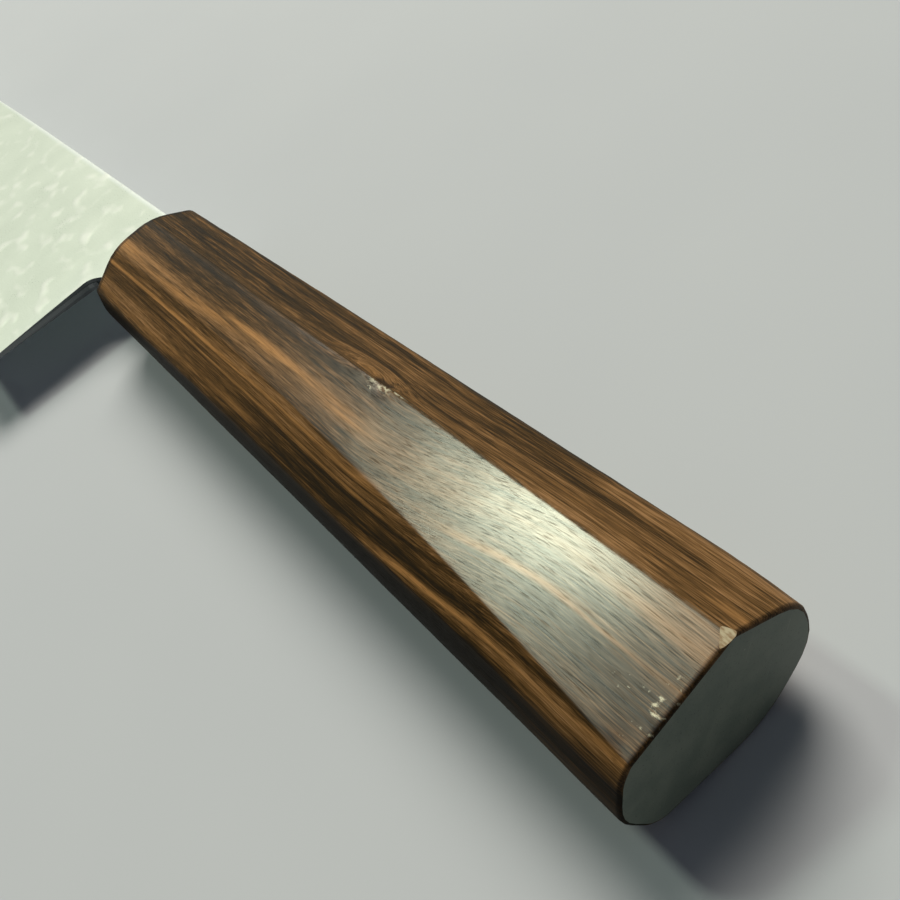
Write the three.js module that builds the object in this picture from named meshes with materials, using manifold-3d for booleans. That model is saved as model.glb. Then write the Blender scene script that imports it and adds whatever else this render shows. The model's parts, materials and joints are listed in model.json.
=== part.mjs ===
// Gyuto knife: a three-layer blade with a stick tang, bedded in a one-piece eight-sided wooden handle.
// It lies on its right side. +X runs from butt to tip, +Y from spine to cutting edge, +Z is up.
import * as THREE from 'three';
import { mergeVertices } from 'three/addons/utils/BufferGeometryUtils.js';
import Module from 'manifold-3d';

const wasm = await Module();
wasm.setup();

// Handle, in millimetres, and one tilt in degrees. Reaches and offsets are measured from its long axis.
const handleLength = 139.5;
const frontSpineReach = 12;
const frontSpineFlat = 10.8;
const frontSideFlat = 9.2;
const frontThickness = 19.1;
const frontBellyOffset = 12.2;
const frontBellyFlat = 10.6;
const frontBellyReach = 13.6;
const buttSpineReach = 15.8;
const buttSpineFlat = 9.4;
const buttUpperOffset = 6.4;
const buttUpperThickness = 22.5;
const buttLowerOffset = 9.6;
const buttLowerThickness = 16.5;
const buttBellyOffset = 11.4;
const buttBellyFlat = 13;
const buttBellyReach = 14;
const lowerEdgeWaist = 2.6;
const crispEase = 0.3;
const wornEase = 3.2;
const crownEase = 3.5;
const buttSpineEase = 2.6;
const frontSpineEase = 1.1;
const buttBellyEase = 2.6;
const buttRightUpperEase = 5;
const buttRightLowerEase = 3.5;
const buttRound = 0.45;
const frontRound = 0.5;
const facetShare = 0.45;
const filedDepth = 0.47;
const filedTilt = 13.7;

// Blade, from the front of the handle to the tip. Heights are measured from the spine at the handle.
const neckLength = 10.6;
const neckHeight = 18.9;
const neckThickness = 3.2;
const spineReach = 9.3;
const choilSweep = 4;
const choilSlant = 4.4;
const heelHeight = 50;
const bladeLength = 240;
const spineFall = 1.6;
const spineRun = 115;
const spineTurn = 32;
const edgeRun = 105;
const edgeTurn = 48;
const tipDrop = 21;
const tipWidth = 0.8;
const tipThickness = 1;
const taperPower = 1.3;
const grindPower = 1.8;
const spineEase = 0.5;
const edgeThickness = 0.3;
const edgeBevel = 1.2;
const apexThickness = 0.08;
const coreThickness = 0.9;

// Tang and the resin that beds it in the mortise.
const tangLength = 92;
const tangRootHeight = 12;
const tangEndHeight = 8;
const tangThickness = 2.6;
const tangOverlap = 4;
const beddingWall = 0.5;
const tangClearance = 0.3;
const cutMargin = 10;

// Fineness of the facets.
const cornerSteps = 3;
const easeSteps = 3;
const handleStations = 12;
const bladeStations = 38;
const choilSteps = 6;
const chordSteps = 8;

const colours = {
  wood: { color: 0x3a2416, roughness: 0.45, metalness: 0 },
  cladding: { color: 0xcfd2c6, roughness: 0.42, metalness: 0.9 },
  core: { color: 0xb9bdbd, roughness: 0.25, metalness: 1 },
  resin: { color: 0x2a2320, roughness: 0.5, metalness: 0 },
};

// A closed skin over a row of rings that run along +X, each counter-clockwise seen from its far end.
function loft(rings) {
  const size = rings[0].length;
  const points = rings.flat();
  const triangles = [];
  for (let ring = 0; ring + 1 < rings.length; ring += 1) {
    for (let i = 0; i < size; i += 1) {
      const here = ring * size + i;
      const beside = ring * size + ((i + 1) % size);
      triangles.push(here, beside, here + size);
      triangles.push(beside, beside + size, here + size);
    }
  }
  const lastStart = points.length - size;
  const firstCentre = points.push(centreOf(rings[0])) - 1;
  const lastCentre = points.push(centreOf(rings.at(-1))) - 1;
  for (let i = 0; i < size; i += 1) {
    const next = (i + 1) % size;
    triangles.push(firstCentre, next, i);
    triangles.push(lastCentre, lastStart + i, lastStart + next);
  }
  return new THREE.BufferGeometry().setFromPoints(points).setIndex(triangles);
}

function centreOf(points) {
  const sum = points.reduce((total, point) => total.add(point), new THREE.Vector3());
  return sum.divideScalar(points.length);
}

function solidOf(geometry) {
  const bare = geometry.clone();
  bare.deleteAttribute('normal');
  bare.deleteAttribute('uv');
  const merged = mergeVertices(bare);
  const vertProperties = new Float32Array(merged.attributes.position.array);
  const triVerts = new Uint32Array(merged.index.array);
  return new wasm.Manifold(new wasm.Mesh({ numProp: 3, vertProperties, triVerts }));
}

function geometryOf(solid) {
  const mesh = solid.getMesh();
  const geometry = new THREE.BufferGeometry();
  geometry.setAttribute('position', new THREE.BufferAttribute(mesh.vertProperties, mesh.numProp));
  geometry.setIndex(new THREE.BufferAttribute(mesh.triVerts, 1));
  const faceted = geometry.toNonIndexed();
  faceted.computeVertexNormals();
  return faceted;
}

// A box between two values on each axis.
function block([xLow, xHigh], [yLow, yHigh], [zLow, zHigh]) {
  const box = new THREE.BoxGeometry(xHigh - xLow, yHigh - yLow, zHigh - zLow);
  return box.translate((xLow + xHigh) / 2, (yLow + yHigh) / 2, (zLow + zHigh) / 2);
}

function mesh(name, geometry, finish) {
  const part = new THREE.Mesh(geometry, new THREE.MeshStandardMaterial(finish));
  part.name = name;
  return part;
}

// The long edges of the handle, each from the butt to the front, as (y, z): the crown of the belly,
// then the four edges of the left half.
const crownRail = new THREE.LineCurve(
  new THREE.Vector2(buttBellyReach, 0),
  new THREE.Vector2(frontBellyReach, 0),
);
const bellyRail = new THREE.LineCurve(
  new THREE.Vector2(buttBellyOffset, buttBellyFlat / 2),
  new THREE.Vector2(frontBellyOffset, frontBellyFlat / 2),
);
const lowerRail = new THREE.QuadraticBezierCurve(
  new THREE.Vector2(buttLowerOffset, buttLowerThickness / 2),
  new THREE.Vector2(lowerEdgeWaist, (buttLowerThickness + frontThickness) / 4),
  new THREE.Vector2(frontSideFlat / 2, frontThickness / 2),
);
const upperRail = new THREE.LineCurve(
  new THREE.Vector2(-buttUpperOffset, buttUpperThickness / 2),
  new THREE.Vector2(-frontSideFlat / 2, frontThickness / 2),
);
const spineRail = new THREE.LineCurve(
  new THREE.Vector2(-buttSpineReach, buttSpineFlat / 2),
  new THREE.Vector2(-frontSpineReach, frontSpineFlat / 2),
);
const leftRails = [bellyRail, lowerRail, upperRail, spineRail];

// How far each edge is eased at the two ends of the handle: the crown, the left half, then the right half.
const leftButtEases = [buttBellyEase, crispEase, crispEase, buttSpineEase];
const rightButtEases = [buttSpineEase, buttRightUpperEase, buttRightLowerEase, buttBellyEase];
const buttEases = [crownEase, ...leftButtEases, ...rightButtEases];
const leftFrontEases = [crispEase, wornEase, wornEase, frontSpineEase];
const frontEases = [crownEase, ...leftFrontEases, ...leftFrontEases.toReversed()];

function handleCorners(x) {
  const share = x / handleLength;
  const left = leftRails.map((rail) => rail.getPoint(share));
  const right = left.map((corner) => new THREE.Vector2(corner.x, -corner.y));
  return [crownRail.getPoint(share), ...left, ...right.reverse()];
}

function edgeNormal(from, to) {
  const along = to.clone().sub(from).normalize();
  return new THREE.Vector2(along.y, -along.x);
}

function insetCorners(corners, inset) {
  return corners.map((corner, i) => {
    const before = edgeNormal(corners.at(i - 1), corner);
    const after = edgeNormal(corner, corners[(i + 1) % corners.length]);
    const reach = inset / (1 + before.dot(after));
    return corner.clone().sub(before.add(after).multiplyScalar(reach));
  });
}

function pointTowards(from, to, distance) {
  const step = to.clone().sub(from).setLength(distance);
  return from.clone().add(step);
}

// One section of the handle at x, drawn in by inset. A corner's ease takes at most a share of its facets.
function handleRing(x, inset) {
  const corners = insetCorners(handleCorners(x), inset);
  return corners.flatMap((corner, i) => {
    const before = corners.at(i - 1);
    const after = corners[(i + 1) % corners.length];
    const wanted = THREE.MathUtils.lerp(buttEases[i], frontEases[i], x / handleLength);
    const room = Math.min(corner.distanceTo(before), corner.distanceTo(after)) * facetShare;
    const start = pointTowards(corner, before, Math.min(wanted, room));
    const end = pointTowards(corner, after, Math.min(wanted, room));
    const bend = new THREE.QuadraticBezierCurve(start, corner, end);
    return bend.getPoints(cornerSteps).map((point) => new THREE.Vector3(x, point.x, point.y));
  });
}

// Depth and inset of the steps that round an end face over, from the face inwards.
function roundOver(radius) {
  return Array.from({ length: easeSteps }, (_, step) => {
    const angle = (step / easeSteps) * (Math.PI / 2);
    return { depth: radius * (1 - Math.cos(angle)), inset: radius * (1 - Math.sin(angle)) };
  });
}

function handleBlock() {
  const buttRings = roundOver(buttRound).map(({ depth, inset }) => handleRing(depth, inset));
  const frontRings = roundOver(frontRound).map(({ depth, inset }) => handleRing(handleLength - depth, inset));
  const straight = handleLength - buttRound - frontRound;
  const middleRings = Array.from({ length: handleStations + 1 }, (_, i) =>
    handleRing(buttRound + (straight * i) / handleStations, 0));
  return loft([...buttRings, ...middleRings, ...frontRings.reverse()]);
}

// The handle with the left upper corner of its butt filed flat, tilted towards the butt.
function filedBlock() {
  const tilt = THREE.MathUtils.degToRad(filedTilt);
  const outward = new THREE.Vector3(-Math.sin(tilt), 0, Math.cos(tilt));
  const corner = new THREE.Vector3(0, -buttUpperOffset, buttUpperThickness / 2);
  const level = corner.dot(outward) - filedDepth;
  return solidOf(handleBlock()).trimByPlane(outward.clone().negate().toArray(), -level);
}

const tangStart = handleLength - tangLength;
const mortiseFloor = tangStart - tangClearance - beddingWall;
const mortiseHalfHeight = tangRootHeight / 2 + tangClearance + beddingWall;
const mortiseHalfThickness = tangThickness / 2 + beddingWall;

// The space for the tang and its resin, from its floor to a given front.
function mortise(front) {
  return block(
    [mortiseFloor, front],
    [-mortiseHalfHeight, mortiseHalfHeight],
    [-mortiseHalfThickness, mortiseHalfThickness],
  );
}

function makeHandle() {
  const opening = solidOf(mortise(handleLength + cutMargin));
  return geometryOf(filedBlock().subtract(opening));
}

// The tapered stick tang run on to a given front, grown in height and at its end by a clearance.
function tangBar(front, clearance) {
  const rootHalf = tangRootHeight / 2 + clearance;
  const endHalf = tangEndHeight / 2 + clearance;
  const outline = new THREE.Shape();
  outline.moveTo(tangStart - clearance, -endHalf);
  outline.lineTo(handleLength, -rootHalf);
  outline.lineTo(front, -rootHalf);
  outline.lineTo(front, rootHalf);
  outline.lineTo(handleLength, rootHalf);
  outline.lineTo(tangStart - clearance, endHalf);
  const bar = new THREE.ExtrudeGeometry(outline, { depth: tangThickness, bevelEnabled: false });
  return bar.translate(0, 0, -tangThickness / 2);
}

function makeBedding() {
  const filled = solidOf(mortise(handleLength));
  const socket = solidOf(tangBar(handleLength + cutMargin, tangClearance));
  return geometryOf(filled.subtract(socket));
}

// Side view of the blade as (x, y): where choil, heel and tip lie, and the curves of spine and edge.
const choilTop = new THREE.Vector2(handleLength + neckLength, -spineReach);
const heel = new THREE.Vector2(choilTop.x + choilSlant, heelHeight - spineReach);
const tip = new THREE.Vector2(heel.x + bladeLength, tipDrop - spineReach);
const spineCurve = new THREE.CubicBezierCurve(
  new THREE.Vector2(handleLength, -spineReach),
  new THREE.Vector2(handleLength + spineRun, spineFall - spineReach),
  new THREE.Vector2(tip.x - spineTurn, spineFall - spineReach),
  new THREE.Vector2(tip.x, tip.y - tipWidth / 2),
);
const edgeCurve = new THREE.CubicBezierCurve(
  new THREE.Vector2(handleLength, heel.y),
  new THREE.Vector2(heel.x + edgeRun, heel.y),
  new THREE.Vector2(tip.x - edgeTurn, heel.y),
  new THREE.Vector2(tip.x, tip.y + tipWidth / 2),
);

// Half the thickness at a share of the way from spine to edge: a convex grind down to the edge bevel.
function halfThickness(share, spineThickness) {
  const ground = share ** grindPower;
  return THREE.MathUtils.lerp(spineThickness, edgeThickness, ground) / 2;
}

// One cross-section, from the edge up the left face, over the eased spine and down the right face.
function bladeRing(along) {
  const top = spineCurve.getPoint(along);
  const bottom = edgeCurve.getPoint(along);
  const height = top.distanceTo(bottom);
  const thickness = tipThickness + (neckThickness - tipThickness) * (1 - along) ** taperPower;
  const ease = Math.min(spineEase, height / 4, thickness / 4);
  const bevel = Math.min(edgeBevel, height / 2);
  const faces = Array.from({ length: chordSteps + 1 }, (_, i) => {
    const share = THREE.MathUtils.lerp(1 - bevel / height, ease / height, i / chordSteps);
    return { share, half: halfThickness(share, thickness) };
  });
  const apex = { share: 1, half: apexThickness / 2 };
  const crown = { share: 0, half: thickness / 2 - ease };
  const left = [apex, ...faces, crown].map(({ share, half }) => {
    const point = top.clone().lerp(bottom, share);
    return new THREE.Vector3(point.x, point.y, half);
  });
  const right = left.map((point) => new THREE.Vector3(point.x, point.y, -point.z));
  return [...left, ...right.reverse()];
}

// The notch behind the heel: along the underside of the neck, round the choil and down past the heel.
function choilNotch() {
  const down = heel.clone().sub(choilTop).normalize();
  const corner = choilTop.clone().lerp(heel, neckHeight / heelHeight);
  const bendEnd = corner.clone().addScaledVector(down, choilSweep);
  const past = heel.clone().addScaledVector(down, cutMargin);
  const outline = new THREE.Shape();
  outline.moveTo(handleLength - cutMargin, corner.y);
  outline.lineTo(corner.x - choilSweep, corner.y);
  outline.quadraticCurveTo(corner.x, corner.y, bendEnd.x, bendEnd.y);
  outline.lineTo(past.x, past.y);
  outline.lineTo(handleLength - cutMargin, past.y);
  const depth = neckThickness + 2 * cutMargin;
  const settings = { depth, bevelEnabled: false, curveSegments: choilSteps };
  return new THREE.ExtrudeGeometry(outline, settings).translate(0, 0, -depth / 2);
}

// The whole laminated blank: ground blade, notched behind the heel, with its tang.
function bladeBlank() {
  const rings = Array.from({ length: bladeStations + 1 }, (_, i) => bladeRing(i / bladeStations));
  const blade = solidOf(loft(rings)).subtract(solidOf(choilNotch()));
  return blade.add(solidOf(tangBar(handleLength + tangOverlap, 0)));
}

// The slice of the blank between two heights.
function makeLayer(blank, low, high) {
  const slab = block(
    [tangStart - cutMargin, tip.x + cutMargin],
    [-spineReach - cutMargin, heel.y + cutMargin],
    [low, high],
  );
  return geometryOf(blank.intersect(solidOf(slab)));
}

const weld = coreThickness / 2;
const blank = bladeBlank();
const knife = new THREE.Group();
knife.add(
  mesh('handle', makeHandle(), colours.wood),
  mesh('tang_bedding', makeBedding(), colours.resin),
  mesh('core_steel', makeLayer(blank, -weld, weld), colours.core),
  mesh('left_cladding', makeLayer(blank, weld, neckThickness), colours.cladding),
  mesh('right_cladding', makeLayer(blank, -neckThickness, -weld), colours.cladding),
);

// The origin is under the middle of the knife, on the surface that it lies on.
const bounds = new THREE.Box3().setFromObject(knife);
const middle = bounds.getCenter(new THREE.Vector3());
knife.position.set(-middle.x, -middle.y, -bounds.min.z);

export default knife;
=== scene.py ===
import json
import math

import bmesh
import bpy
from mathutils import Matrix, Vector, noise


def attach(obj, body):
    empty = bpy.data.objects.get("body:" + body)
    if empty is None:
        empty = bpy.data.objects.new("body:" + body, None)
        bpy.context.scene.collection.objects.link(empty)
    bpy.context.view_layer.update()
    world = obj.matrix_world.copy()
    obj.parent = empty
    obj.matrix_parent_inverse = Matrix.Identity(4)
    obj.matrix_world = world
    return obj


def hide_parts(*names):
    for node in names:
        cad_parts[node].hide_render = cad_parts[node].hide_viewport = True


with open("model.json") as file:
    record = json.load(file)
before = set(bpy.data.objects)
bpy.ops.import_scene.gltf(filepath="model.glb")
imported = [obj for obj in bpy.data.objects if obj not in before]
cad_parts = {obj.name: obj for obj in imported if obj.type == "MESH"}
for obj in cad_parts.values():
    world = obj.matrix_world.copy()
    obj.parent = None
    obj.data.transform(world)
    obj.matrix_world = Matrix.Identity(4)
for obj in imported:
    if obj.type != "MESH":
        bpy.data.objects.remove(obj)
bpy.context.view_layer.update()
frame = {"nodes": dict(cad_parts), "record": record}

mm = 0.001
scene = bpy.context.scene
scene.view_settings.view_transform = "Standard"

# the middle of the butt, which the handle and the grain are measured from
buttPlace = next(Vector(m["pos_m"]) for m in frame["record"]["mounts"] if m["name"] == "butt_face")
print("frame loaded, butt at", tuple(round(v, 5) for v in buttPlace))


def lerp(first, second, share):
    return first + (second - first) * share


screenCurve = {"levels": 255, "knee": 0.04045, "slope": 12.92, "lift": 0.055, "power": 2.4}


def srgb(red, green, blue):
    # a colour as seen on a screen, made linear for a shader
    def channel(value):
        part = value / screenCurve["levels"]
        if part <= screenCurve["knee"]:
            return part / screenCurve["slope"]
        return ((part + screenCurve["lift"]) / (1 + screenCurve["lift"])) ** screenCurve["power"]
    return (channel(red), channel(green), channel(blue), 1.0)


def direction(turn, rise):
    # a unit vector, from degrees round and degrees up
    turn = math.radians(turn)
    rise = math.radians(rise)
    return Vector((math.cos(rise) * math.cos(turn), math.cos(rise) * math.sin(turn), math.sin(rise)))


# where a Mix node keeps its sockets for colours
mixAt = {"factor": 0, "first": 6, "second": 7, "result": 2}


class Wire:
    # one socket of a node tree; sums and products of wires add Math nodes
    def __init__(self, tree, socket=None):
        self.tree = tree
        self.socket = socket

    def node(self, kind, settings=None, sockets=None, out=0):
        made = self.tree.nodes.new("ShaderNode" + kind)
        for name, value in (settings or {}).items():
            if name == "stops":
                setStops(made.color_ramp, value)
            else:
                setattr(made, name, value)
        self.feed(made, sockets or {})
        return Wire(self.tree, made.outputs[out])

    def feed(self, made, sockets):
        for name, value in sockets.items():
            if isinstance(value, Wire):
                self.tree.links.new(value.socket, made.inputs[name])
            else:
                made.inputs[name].default_value = value

    def other(self, out):
        return Wire(self.tree, self.socket.node.outputs[out])

    def maths(self, operation, first, second=0.0):
        return self.node("Math", {"operation": operation}, {0: first, 1: second})

    def __add__(self, value):
        return self.maths("ADD", self, value)

    __radd__ = __add__

    def __sub__(self, value):
        return self.maths("SUBTRACT", self, value)

    def __rsub__(self, value):
        return self.maths("SUBTRACT", value, self)

    def __mul__(self, value):
        return self.maths("MULTIPLY", self, value)

    __rmul__ = __mul__

    def __truediv__(self, value):
        return self.maths("DIVIDE", self, value)

    def __rtruediv__(self, value):
        return self.maths("DIVIDE", value, self)

    def __abs__(self):
        return self.maths("ABSOLUTE", self)

    def span(self, low, high):
        # 0 to 1 from low to high, eased at both ends
        limits = {"Value": self, "From Min": low, "From Max": high}
        return self.node("MapRange", {"interpolation_type": "SMOOTHSTEP"}, limits)

    def tint(self, first, second):
        # first where this wire is 0, second where it is 1
        sockets = {mixAt["factor"]: self, mixAt["first"]: first, mixAt["second"]: second}
        return self.node("Mix", {"data_type": "RGBA"}, sockets, out=mixAt["result"])

    def shade(self, colour, factor):
        # a colour made darker or lighter by a plain wire
        grey = self.node("CombineColor", None, {0: factor, 1: factor, 2: factor})
        mix = {"data_type": "RGBA", "blend_type": "MULTIPLY"}
        sockets = {mixAt["factor"]: 1.0, mixAt["first"]: colour, mixAt["second"]: grey}
        return self.node("Mix", mix, sockets, out=mixAt["result"])

    def vector(self, x, y, z):
        return self.node("CombineXYZ", None, {0: x, 1: y, 2: z})

    def parts(self):
        # a place taken apart into its three distances
        x = self.node("SeparateXYZ", None, {0: self})
        return x, x.other("Y"), x.other("Z")

    def length(self):
        return self.node("VectorMath", {"operation": "LENGTH"}, {0: self}, out="Value")

    def grain(self, parts, size):
        # soft noise about 0.5; size gives its lumps' three lengths, its detail and its roughness
        *stretch, detail, rough = size
        place = self.vector(*(part / long for part, long in zip(parts, stretch)))
        values = {"Vector": place, "Scale": 1.0, "Detail": detail, "Roughness": rough}
        return self.node("TexNoise", None, values)

    def centred(self):
        # such noise, made to swing about 0
        return self - 0.5

    def bump(self, height, relief, under=None):
        # relief gives the depth in millimetres and the strength
        depth, strength = relief
        values = {"Height": height, "Distance": depth * mm, "Strength": strength}
        if under:
            values["Normal"] = under
        return self.node("Bump", None, values)


def setStops(ramp, stops):
    while len(ramp.elements) < len(stops):
        ramp.elements.new(1.0)
    for element, (place, colour) in zip(ramp.elements, stops):
        element.position = place
        element.color = colour


def newFinish(name, centre):
    # a material with its shader and its place in millimetres from a centre
    material = bpy.data.materials.new(name)
    material.use_nodes = True
    tree = material.node_tree
    shader = tree.nodes["Principled BSDF"]
    objectPlace = Wire(tree).node("TexCoord", out="Object")
    move = {"Vector": objectPlace, "Location": -centre / mm, "Scale": (1 / mm, 1 / mm, 1 / mm)}
    place = objectPlace.node("Mapping", None, move)
    return material, shader, place


def pick(parts, kind):
    return [part for part in parts if isinstance(part, kind)]


def growEdges(bm, edges):
    # a new row beside the last one: its edges, points and faces
    grown = bmesh.ops.extrude_edge_only(bm, edges=edges)["geom"]
    kinds = (bmesh.types.BMEdge, bmesh.types.BMVert, bmesh.types.BMFace)
    return [pick(grown, kind) for kind in kinds]


def sortParts(parts, middleOf):
    # extruding leaves their order to chance, so it is set by their places
    for index, part in enumerate(sorted(parts, key=middleOf)):
        part.index = index
    parts.sort()


def addPiece(name, bm, finishes, node, sharpest):
    # the finished mesh takes the place of its CAD node
    for edge in bm.edges:
        if edge.calc_face_angle(0.0) > math.radians(sharpest):
            edge.smooth = False
    sortParts(bm.verts, lambda vert: tuple(vert.co))
    sortParts(bm.edges, lambda edge: tuple(edge.verts[0].co + edge.verts[1].co))
    sortParts(bm.faces, lambda face: tuple(face.calc_center_median()))
    mesh = bpy.data.meshes.new(name)
    bm.to_mesh(mesh)
    bm.free()
    for finish in finishes:
        mesh.materials.append(finish)
    mesh.shade_smooth()
    piece = bpy.data.objects.new(name, mesh)
    scene.collection.objects.link(piece)
    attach(piece, "root")
    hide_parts(node)
    print("made", name, "with", len(mesh.polygons), "faces")


cameraSet = {
    "fromButt": (-0.03823, 0.017394, 0.101356),
    "azimuth": -14.674,
    "elevation": 47.185,
    "roll": 32.847,
    "lens": 39.76,
    "sensor": 36,
    "nearest": 0.01,
}


def makeCamera():
    data = bpy.data.cameras.new("photoCamera")
    data.lens = cameraSet["lens"]
    data.sensor_width = cameraSet["sensor"]
    data.clip_start = cameraSet["nearest"]
    camera = bpy.data.objects.new("photoCamera", data)
    scene.collection.objects.link(camera)
    aim = direction(cameraSet["azimuth"], -cameraSet["elevation"])
    level = aim.to_track_quat("-Z", "Y").to_matrix()
    rolled = level @ Matrix.Rotation(-math.radians(cameraSet["roll"]), 3, "Z")
    camera.matrix_world = Matrix.Translation(buttPlace + Vector(cameraSet["fromButt"])) @ rolled.to_4x4()
    scene.camera = camera


makeCamera()
print("camera set")

studioSet = {
    "floorHalf": 3.0,
    "floorPale": (198, 204, 214),
    "floorDeep": (192, 198, 209),
    # faint patches in the floor: three lengths in millimetres, detail, roughness
    "floorPatch": (60, 60, 60, 2.0, 0.5),
    "floorRough": 0.8,
    "floorShine": 0.1,
    # far from the knife the floor runs into the backdrop
    "floorFade": (380, 900),
    "backdrop": (199, 203, 198),
    "sky": (222, 228, 236),
    "skyStrength": 0.09,
    # each lamp: direction from the knife in degrees, distance and size in metres, watts
    "lamps": {
        "keyLamp": {
            "turn": 10,
            "rise": 55.5,
            "away": 3.0,
            "size": 0.39,
            "watts": 17.5,
            "tint": (242, 255, 226),
        },
        "sideBox": {
            "turn": -42,
            "rise": 50,
            "away": 2.2,
            "size": 1.2,
            "watts": 49.0,
            "tint": (255, 247, 228),
        },
    },
    "aim": (-0.12, -0.01, 0.01),
}


def makeFloor():
    bm = bmesh.new()
    bmesh.ops.create_grid(bm, x_segments=1, y_segments=1, size=studioSet["floorHalf"])
    mesh = bpy.data.meshes.new("paleFloor")
    bm.to_mesh(mesh)
    bm.free()
    material, shader, place = newFinish("paleFloor", Vector((0, 0, 0)))
    patch = place.grain(place.parts(), studioSet["floorPatch"])
    place.feed(shader, {
        "Base Color": patch.tint(srgb(*studioSet["floorPale"]), srgb(*studioSet["floorDeep"])),
        "Roughness": studioSet["floorRough"],
        "Specular IOR Level": studioSet["floorShine"],
    })
    # the far glow is for the camera only, so that it lights nothing
    seen = place.node("LightPath", out="Is Camera Ray")
    far = place.length().span(*studioSet["floorFade"])
    glow = place.node("Emission", None, {"Color": srgb(*studioSet["backdrop"])})
    mixed = place.node("MixShader", None, {0: seen * far, 1: Wire(place.tree, shader.outputs[0]), 2: glow})
    place.feed(place.tree.nodes["Material Output"], {"Surface": mixed})
    mesh.materials.append(material)
    floor = bpy.data.objects.new("paleFloor", mesh)
    scene.collection.objects.link(floor)


def makeLight():
    world = bpy.data.worlds.new("softStudio")
    scene.world = world
    world.use_nodes = True
    # the backdrop shows to the camera and in reflections, and a dimmer sky lights the knife
    seen = Wire(world.node_tree).node("LightPath", out="Is Camera Ray")
    mirrored = seen.maths("MAXIMUM", seen.other("Is Glossy Ray"), seen.other("Is Transmission Ray"))
    seen = seen.maths("MAXIMUM", seen, mirrored)
    seen.feed(world.node_tree.nodes["Background"], {
        "Color": seen.tint(srgb(*studioSet["sky"]), srgb(*studioSet["backdrop"])),
        "Strength": lerp(studioSet["skyStrength"], 1, seen),
    })
    for name, lamp in studioSet["lamps"].items():
        data = bpy.data.lights.new(name, "AREA")
        data.size = lamp["size"]
        data.energy = lamp["watts"]
        data.color = srgb(*lamp["tint"])[:3]
        light = bpy.data.objects.new(name, data)
        scene.collection.objects.link(light)
        toLamp = direction(lamp["turn"], lamp["rise"])
        place = Matrix.Translation(Vector(studioSet["aim"]) + toLamp * lamp["away"])
        light.matrix_world = place @ toLamp.to_track_quat("Z", "Y").to_matrix().to_4x4()


makeFloor()
makeLight()
print("studio set")

# sizes in millimetres, along the handle from the butt
handleSet = {
    "length": 139.5,
    # the crown of the belly and the edges of the left half: (towards the cutting edge, half width)
    "butt": {
        "crown": (14, 0),
        "belly": (11.4, 6.5),
        "lower": (9.6, 8.25),
        "upper": (-6.4, 11.25),
        "spine": (-15.8, 4.7),
    },
    "front": {
        "crown": (13.6, 0),
        "belly": (12.2, 5.3),
        "lower": (4.6, 9.55),
        "upper": (-4.6, 9.55),
        "spine": (-12, 5.4),
    },
    # the lower edge bends towards this point on its way
    "lowerWaist": (2.6, 8.9),
    # how far each edge is eased at the butt, behind the middle and at the front, and where it softens
    "eases": {
        "crown": (3.5, 3.5, 3.5, 40, 90),
        "belly": (2.6, 0.3, 0.4, 40, 90),
        "lower": (0.3, 0.25, 3.2, 40, 92),
        "upper": (0.3, 0.2, 3.4, 58, 92),
        "spine": (4.2, 1.6, 1.1, 40, 90),
        "rightUpper": (5.0, 4.7, 3.4, 20, 139),
        "rightLower": (3.5, 3.4, 3.2, 20, 139),
    },
    "buttFade": 5,
    "ragged": 0.12,
    "raggedLump": 1.9,
    # the most of a facet that an ease may take
    "facetShare": 0.45,
    "buttRound": 0.45,
    "frontRound": 0.5,
    "roundSteps": 4,
    "cornerSteps": 4,
    "flatStops": (0.03, 0.08, 0.15, 0.24, 0.37, 0.5, 0.63, 0.76, 0.85, 0.92, 0.97),
    "stationGap": 1.0,
    "buttStations": (0.3, 0.6, 0.9, 1.2, 1.6, 2.0, 2.5, 3.1),
    # sanding takes away more than it leaves
    "sanding": 0.05,
    "sandingLevel": 0.5,
    "sandingLump": 11,
    "mortise": {"half": (6.8, 1.8), "floor": 46.7},
    # a flat filed on the left upper corner of the butt: its depth below the corner, and which way it faces
    "filed": {"depth": 0.47, "outward": (-0.2368, 0.0, 0.9716)},
    # small knocks: along, edge, how wide, how deep
    "knocks": (
        (60.5, "upper", 1.4, 0.42),
        (63.5, "upper", 1.2, 0.2),
        (2.5, "lower", 1.0, 0.12),
        (33, "upper", 0.7, 0.07),
        (96, "lower", 0.9, 0.06),
    ),
    # which of the handle's finishes these faces take, after the sides' own
    "finishAt": {"butt": 1, "filed": 2, "belly": 3},
    # edges sharper than this many degrees shade as edges
    "sharpest": 50,
    # a bend below this is a straight line, and a distance below this is none
    "straight": 1e-9,
    "nothing": 1e-6,
}
leftNames = ("belly", "lower", "upper", "spine")
edgeNames = ("crown",) + leftNames + ("spine", "rightUpper", "rightLower", "belly")


def handleCorner(name, along):
    share = along / handleSet["length"]
    start = Vector(handleSet["butt"][name])
    end = Vector(handleSet["front"][name])
    if name != "lower":
        return start.lerp(end, share)
    waist = Vector(handleSet["lowerWaist"])
    return start.lerp(waist, share).lerp(waist.lerp(end, share), share)


def insetCorner(before, corner, after, inset):
    # moves a corner in by the same depth from both of its facets
    first = (corner - before).normalized()
    second = (after - corner).normalized()
    bisector = second - first
    if bisector.length < handleSet["straight"]:
        return corner + Vector((-first.y, first.x)) * inset
    bisector.normalize()
    return corner + bisector * (inset / abs(first.x * bisector.y - first.y * bisector.x))


def edgeEase(name, along):
    # worn round at the butt, crisp and a little ragged behind the middle, softer towards the front
    atButt, crisp, atFront, softStart, softEnd = handleSet["eases"][name]
    share = min(1.0, max(0.0, (along - softStart) / (softEnd - softStart)))
    ragged = noise.noise(Vector((along / handleSet["raggedLump"], len(name), crisp)))
    ease = lerp(crisp, atFront, share * share * (3 - 2 * share)) + handleSet["ragged"] * ragged
    return ease + (atButt - crisp) * math.exp(-along / handleSet["buttFade"])


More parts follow.
